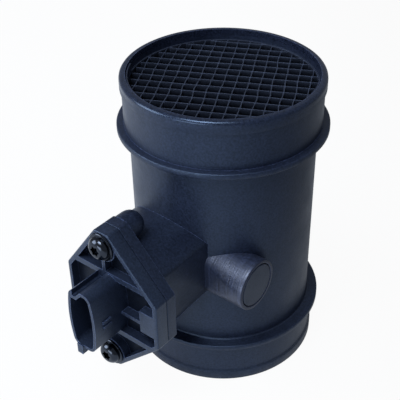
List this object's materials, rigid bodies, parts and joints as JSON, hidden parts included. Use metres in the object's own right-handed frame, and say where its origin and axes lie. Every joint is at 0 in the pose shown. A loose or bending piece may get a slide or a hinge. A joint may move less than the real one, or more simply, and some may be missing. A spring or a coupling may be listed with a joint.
{
  "type": "mass airflow sensor",
  "caption": "Hot-film mass airflow sensor: straight flow tube with hose collars at both ends, an inlet flow straightener and a plug-in sensor with an electrical connector.",
  "frame": {"origin": "centre of the outlet rim plane, on the tube axis", "axes": "+Z along the tube from outlet to inlet; -Y outward through the sensor flange and connector; +X along the side boss"},
  "size_m": [0.0858, 0.1285, 0.13],
  "materials": {
    "housing": "fine moulded grain",
    "straightener": "moulded satin",
    "connector_moulding": "fine moulded grain",
    "plug_disc": "satin",
    "screws": "black coated, glossy",
    "inserts": "machined",
    "terminals": "tinned",
    "seal": "smooth",
    "probe": "smooth",
    "element": "fired",
    "board": "fired",
    "chips": "moulded",
    "sink": "milled"
  },
  "bodies": {
    "root": {"housing": "housing", "flow_grid": "straightener", "grid_retainer": "straightener", "side_plug": "plug_disc", "connector_flange": "connector_moulding", "flange_screws": "screws", "screw_washers": "screws", "threaded_inserts": "inserts", "insert_seal": "seal", "probe_arm": "probe", "sensor_element": "element", "temperature_sensor": "element", "circuit_board": "board", "board_cover": "connector_moulding", "heat_sink": "sink", "terminal_1": "terminals", "terminal_2": "terminals", "terminal_3": "terminals", "terminal_4": "terminals", "board_chip_1": "chips", "board_chip_2": "chips", "board_chip_3": "chips"}
  },
  "joints": []
}
